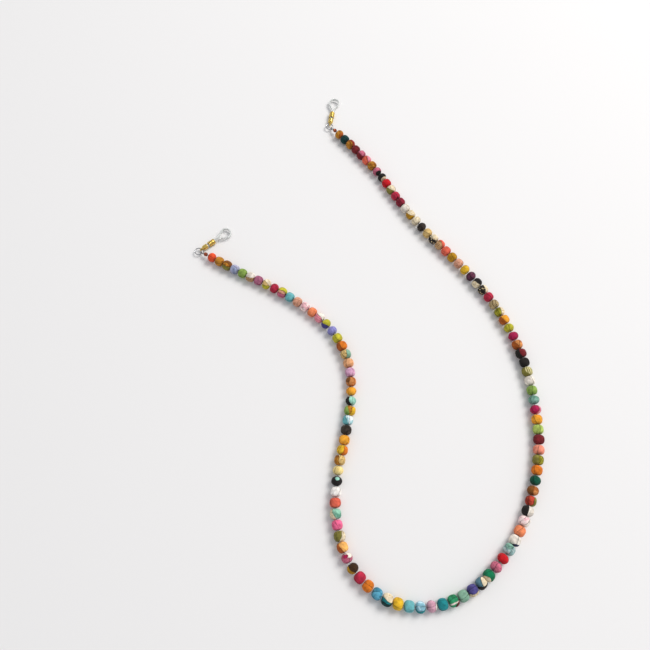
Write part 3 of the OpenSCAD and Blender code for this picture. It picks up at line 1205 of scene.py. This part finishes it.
    def end_cap(self, finish: bpy.types.Material) -> None:
        """Makes the end cap: a grooved barrel with a flat tab for the ring."""
        start, end, r = self.cap_start, self.cap_end, self.cap_radius
        bevel, groove, core = self.cap_bevel, self.cap_groove, self.cap_core
        mouth = r - self.cap_wall
        bore = mouth - groove / 2
        floor = end - 0.75 * self.cap_length
        outer = [(start, core), (start, r - 2 * bevel), (start + 0.4 * bevel, r - bevel),
                 (start + bevel, r - 0.3 * bevel), (start + 2 * bevel, r)]
        for middle in (start + 8 * groove, end - 7.5 * groove):
            outer += [(middle - 2 * groove, r), (middle - groove, r - groove),
                      (middle + groove, r - groove), (middle + 2 * groove, r)]
        outer += [(end - bevel, r), (end - 0.3 * bevel, r - 0.3 * bevel), (end, r - 0.6 * bevel),
                  (end, mouth), (end - groove, bore), (floor, bore), (floor, core)]
        barrel = lathe(outer, self.sides)
        self.piece("end_cap", joined([barrel, self.tab_shell()]), self.loop_place, finish,
                   f"{self.side}_loop", 32.0)

    def tab_shell(self) -> Shell:
        """Returns the end cap's tab: a plate with a round end, a hole and broken edges."""
        reach = self.cap_start + self.cap_length / 8 - self.ring_radius
        half, edge = self.tab_thick / 2, self.tab_edge
        columns = []
        for i in range(self.sides):
            angle = math.tau * i / self.sides
            c, s = math.cos(angle), math.sin(angle)
            out = self.tab_radius
            if c > 0:
                out = min(self.tab_radius / max(abs(s), 1e-6), reach / c)
            rim = [(self.tab_hole, half - edge), (self.tab_hole + edge, half), (out - edge, half),
                   (out, half - edge)]
            loop = rim + [(r, -y) for r, y in reversed(rim)]
            columns.append([(self.ring_radius + r * c, y, r * s) for r, y in loop])
        points = np.array(columns)
        return Shell(points.reshape(-1, 3), grid_faces(self.sides, points.shape[1], True, True))

    def band_path(self) -> np.ndarray:
        """Returns the middle line of the silicone band, from the cap round the eye and back."""
        mid = self.eye_inner + self.band_thick / 2
        flare = (math.asin(mid / math.hypot(self.neck_length, self.band_y))
                 - math.atan2(self.band_y, self.neck_length))
        start = self.cap_end - 0.7 * self.cap_length
        half = [(start, self.band_y), (self.neck, self.band_y)]
        arc = [(self.eye + mid * math.cos(a), mid * math.sin(a))
               for a in np.linspace(math.pi / 2 + flare, -math.pi / 2 - flare, 60)]
        corners = np.array([*half, *arc, *[(x, -y) for x, y in reversed(half)]])
        run = np.concatenate([[0], np.cumsum(np.linalg.norm(np.diff(corners, axis=0), axis=1))])
        even = np.linspace(0, run[-1], self.band_steps)
        line = np.stack([np.interp(even, run, corners[:, k]) for k in (0, 1)], axis=1)
        for _ in range(self.band_rounds):
            line[1:-1] = line[1:-1] / 2 + (line[:-2] + line[2:]) / 4
        return np.stack([line[:, 0], line[:, 1], np.zeros(len(line))], axis=1)

    def temple_loop(self, finish: bpy.types.Material) -> None:
        """Makes the silicone loop: one moulded band with soft corners."""
        section = soft_box_section(self.band_thick, self.band_width, self.band_corner)
        shell = sweep(self.band_path(), section, np.array([0, 0, 1.0]))
        self.piece("temple_loop", shell, self.loop_place, finish, f"{self.side}_loop")

    def coil_slider(self, finish: bpy.types.Material) -> None:
        """Makes the slider: gold wire wound close, each turn touching the next."""
        turns = self.slider_length / self.slider_wire - 1
        mean = self.slider_radius - self.slider_wire / 2
        share = np.linspace(0, 1, int(turns * self.slider_turn_steps))
        angle = share * turns * math.tau
        first = self.slider_start + self.slider_wire / 2
        x = first + share * (self.slider_length - self.slider_wire)
        path = np.stack([x, mean * np.sin(angle), mean * np.cos(angle)], axis=1)
        outwards = np.stack([np.zeros_like(x), np.sin(angle), np.cos(angle)], axis=1)
        shell = sweep(path, round_section(self.slider_wire / 2, 12), outwards)
        self.piece("coil_slider", shell, self.loop_place, finish, f"{self.side}_slider")


# --------------------------------------------------------------------------- studio


@dataclass
class Studio:
    """A pale table, soft daylight from the upper right, and the camera."""

    lens_mm: float = 33.23
    sensor_mm: float = 36.0
    near: float = 0.01
    far: float = 20.0
    down_deg: float = 67.5
    roll_deg: float = 0.4
    eye: tuple[float, float, float] = (-0.0205, -0.1550, 0.3542)
    room_colour: str = "#F7FAFF"
    room_strength: float = 0.6
    window_size: tuple[float, float] = (1.5, 1.2)
    window_watts: float = 62.0
    window_colour: tuple[float, float, float] = (1.0, 0.985, 0.96)
    window_place: tuple[float, float, float] = (1.5, 1.1, 2.0)
    window_aim: tuple[float, float, float] = (0.0, -0.02, 0.0)
    table_half: float = 1.5
    table_colour: str = "#E6E4E3"

    def camera(self) -> None:
        """Sets up the camera, looking down along +Y."""
        data = bpy.data.cameras.new("camera")
        data.sensor_width, data.lens = self.sensor_mm, self.lens_mm
        data.clip_start, data.clip_end = self.near, self.far
        down, roll = math.radians(self.down_deg), math.radians(self.roll_deg)
        ahead = Vector((0, math.cos(down), -math.sin(down)))
        up = Vector((0, math.sin(down), math.cos(down)))
        right = Vector((math.cos(roll), 0, 0)) - up * math.sin(roll)
        above = right.cross(ahead)
        place = Matrix((right, above, -ahead)).transposed().to_4x4()
        place.translation = self.eye
        made = bpy.data.objects.new("camera", data)
        made.matrix_world = place
        bpy.context.scene.collection.objects.link(made)
        bpy.context.scene.camera = made

    def light(self) -> None:
        """Adds the window light and the bright room round it."""
        bpy.context.scene.view_settings.view_transform = "Standard"
        world = bpy.data.worlds.new("room")
        bpy.context.scene.world = world
        world.use_nodes = True
        glow = world.node_tree.nodes["Background"]
        glow.inputs["Color"].default_value = linear(self.room_colour)
        glow.inputs["Strength"].default_value = self.room_strength
        lamp = bpy.data.lights.new("window", "AREA")
        lamp.shape = "RECTANGLE"
        lamp.size, lamp.size_y = self.window_size
        lamp.energy = self.window_watts
        lamp.color = self.window_colour
        made = bpy.data.objects.new("window", lamp)
        made.location = self.window_place
        made.rotation_mode = "QUATERNION"
        look = Vector(self.window_aim) - Vector(self.window_place)
        made.rotation_quaternion = look.to_track_quat("-Z", "Y")
        bpy.context.scene.collection.objects.link(made)

    def table(self) -> None:
        """Adds the table top that the strap lies on."""
        half = self.table_half
        mesh = bpy.data.meshes.new("table")
        mesh.from_pydata([(-half, -half, 0), (half, -half, 0), (half, half, 0), (-half, half, 0)],
                         [], [(0, 1, 2, 3)])
        material, tree = new_material("matt_white_paint")
        finished(tree, {"Base Color": linear(self.table_colour), "Roughness": 0.8, "IOR": 1.5})
        mesh.materials.append(material)
        made = bpy.data.objects.new("table", mesh)
        bpy.context.scene.collection.objects.link(made)


def joint_point(frame: dict, name: str) -> Vector:
    """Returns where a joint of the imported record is."""
    return Vector(next(j["pos_m"] for j in frame["joints"] if j["name"] == name))


def main() -> None:
    """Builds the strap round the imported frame, piece by piece."""
    logging.basicConfig(level=logging.INFO, format="%(message)s")
    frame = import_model()

    studio = Studio()
    studio.camera()
    studio.light()
    studio.table()

    low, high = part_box("right_end_bead_wrap")
    height = (low.z + high.z) / 2
    route = Route(ROUTE, STRAND_LENGTH)
    cable = CoatedCable().material()
    wire = BeadingWire(route, height)
    LOG.info("beading wire: %d lengths", wire.build(cable))

    wood = TurnedWood().material()
    for name, node in frame["nodes"].items():
        if name.startswith("wood_beads") or name.endswith("bead_core"):
            node.data.materials.clear()
            node.data.materials.append(wood)

    finishes = {cotton: cotton.value.material(f"cotton_{cotton.name.lower()}") for cotton in Cotton}
    chart = [Dress.read(entry) for entry in CHART.split()]
    if len(chart) != BEADS:
        raise ValueError(f"the stringing chart has {len(chart)} beads and not {BEADS}")
    for number, dress in enumerate(chart, 1):
        WrappedBead(number, dress, route, high.z / 2).build(finishes)
    LOG.info("wrapped beads: %d", len(chart))

    gold, steel = GOLD_PLATE.material(), BRIGHT_STEEL.material()
    copper, silicone = ANTIQUE_COPPER.material(), ClearSilicone().material()
    for side, s, about in (("right", 0.0, math.pi), ("left", STRAND_LENGTH, 0.0)):
        place = (Matrix.Translation(route.at(s, 0).tolist())
                 @ Matrix.Rotation(route.heading(s) + about, 4, "Z"))
        end = EndFittings(side, place, joint_point(frame, f"{side}_ring_swing"),
                          joint_point(frame, f"{side}_loop_lift"), wire, height)
        body = "strand_01" if side == "right" else f"strand_{GROUPS:02d}"
        end.crimp(copper, body)
        end.wire_eye(cable, body)
        end.jump_ring(steel)
        end.end_cap(gold)
        end.temple_loop(silicone)
        end.coil_slider(gold)
        LOG.info("%s end: crimp, wire eye, jump ring, end cap, temple loop, coil slider", side)

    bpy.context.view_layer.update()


if __name__ == "__main__":
    main()
